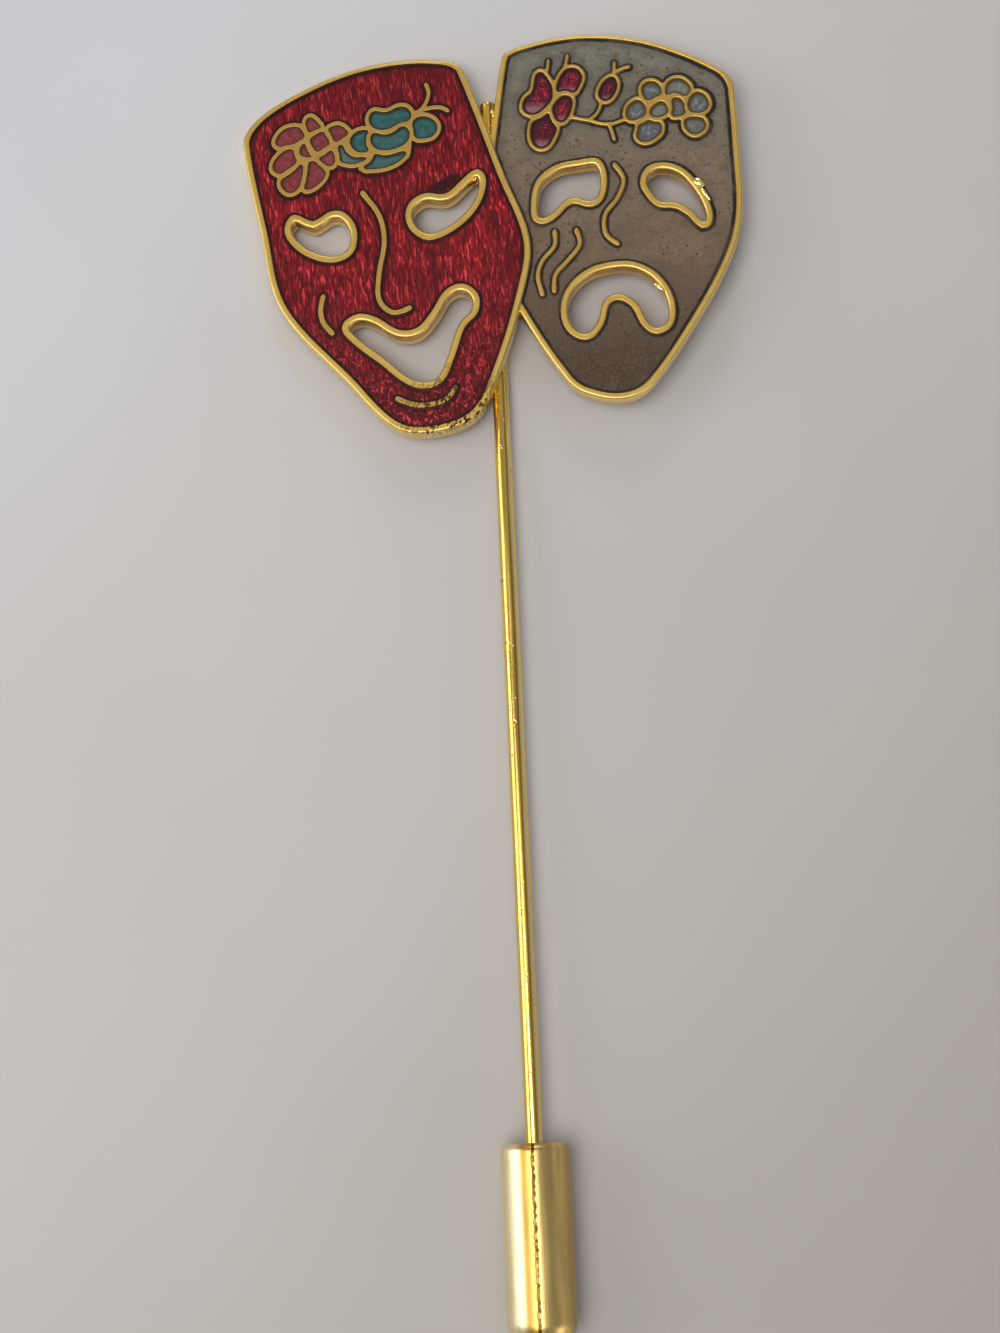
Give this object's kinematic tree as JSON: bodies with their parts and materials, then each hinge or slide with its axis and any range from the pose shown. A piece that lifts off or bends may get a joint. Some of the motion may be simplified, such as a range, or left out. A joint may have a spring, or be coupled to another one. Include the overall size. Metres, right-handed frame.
{
  "type": "stick pin",
  "caption": "Stick pin with enamelled laughing and weeping theatre masks on a gilt plate, a long needle stem and a barrel clutch on its point.",
  "frame": {"origin": "middle of the whole pin's box in X and Y, on the surface that it lies on", "axes": "+Z up, out of the masks' enamelled faces; +Y along the stem, from its point towards the masks; +X to the right of the laughing mask, seen from above with +Y up"},
  "size_m": [0.0304, 0.0783, 0.0042],
  "materials": {
    "gilt_plate": "gold plated: flat tops matt, edges and stem bright",
    "red_enamel": "translucent glossy enamel over fine streaks",
    "grey_enamel": "opaque glossy enamel with fine specks",
    "pink_enamel": "glossy",
    "teal_enamel": "glossy",
    "ruby_enamel": "glossy, dark towards the wires",
    "pale_enamel": "glossy",
    "grip": "plain",
    "clutch": "pale gold plated, polished"
  },
  "bodies": {
    "pin": {"mask_frame": "gilt_plate", "red_enamel": "red_enamel", "grey_enamel": "grey_enamel", "pink_cell_1": "pink_enamel", "pink_cell_2": "pink_enamel", "pink_cell_3": "pink_enamel", "pink_cell_4": "pink_enamel", "pink_cell_5": "pink_enamel", "pink_cell_6": "pink_enamel", "pink_cell_7": "pink_enamel", "pink_cell_8": "pink_enamel", "pink_cell_9": "pink_enamel", "teal_cell_1": "teal_enamel", "teal_cell_2": "teal_enamel", "teal_cell_3": "teal_enamel", "teal_cell_4": "teal_enamel", "teal_cell_5": "teal_enamel", "teal_cell_6": "teal_enamel", "ruby_cell_1": "ruby_enamel", "ruby_cell_2": "ruby_enamel", "ruby_cell_3": "ruby_enamel", "ruby_cell_4": "ruby_enamel", "ruby_cell_5": "ruby_enamel", "pale_cell_1": "pale_enamel", "pale_cell_2": "pale_enamel", "pale_cell_3": "pale_enamel", "pale_cell_4": "pale_enamel", "pale_cell_5": "pale_enamel", "pale_cell_6": "pale_enamel", "pale_cell_7": "pale_enamel", "pale_cell_8": "pale_enamel"},
    "grip": {"clutch_grip": "grip"},
    "clutch": {"clutch_barrel": "clutch"}
  },
  "joints": [
    {"name": "clutch_slide", "type": "slide", "parent": "pin", "child": "grip", "axis": [0, -0.9997, 0.0238], "range_m": [0, 0.016]},
    {"name": "clutch_spin", "type": "hinge", "parent": "grip", "child": "clutch", "pos_m": [-0.00006, -0.03354, 0.00212], "axis": [0, -0.9997, 0.0238], "continuous": true}
  ]
}
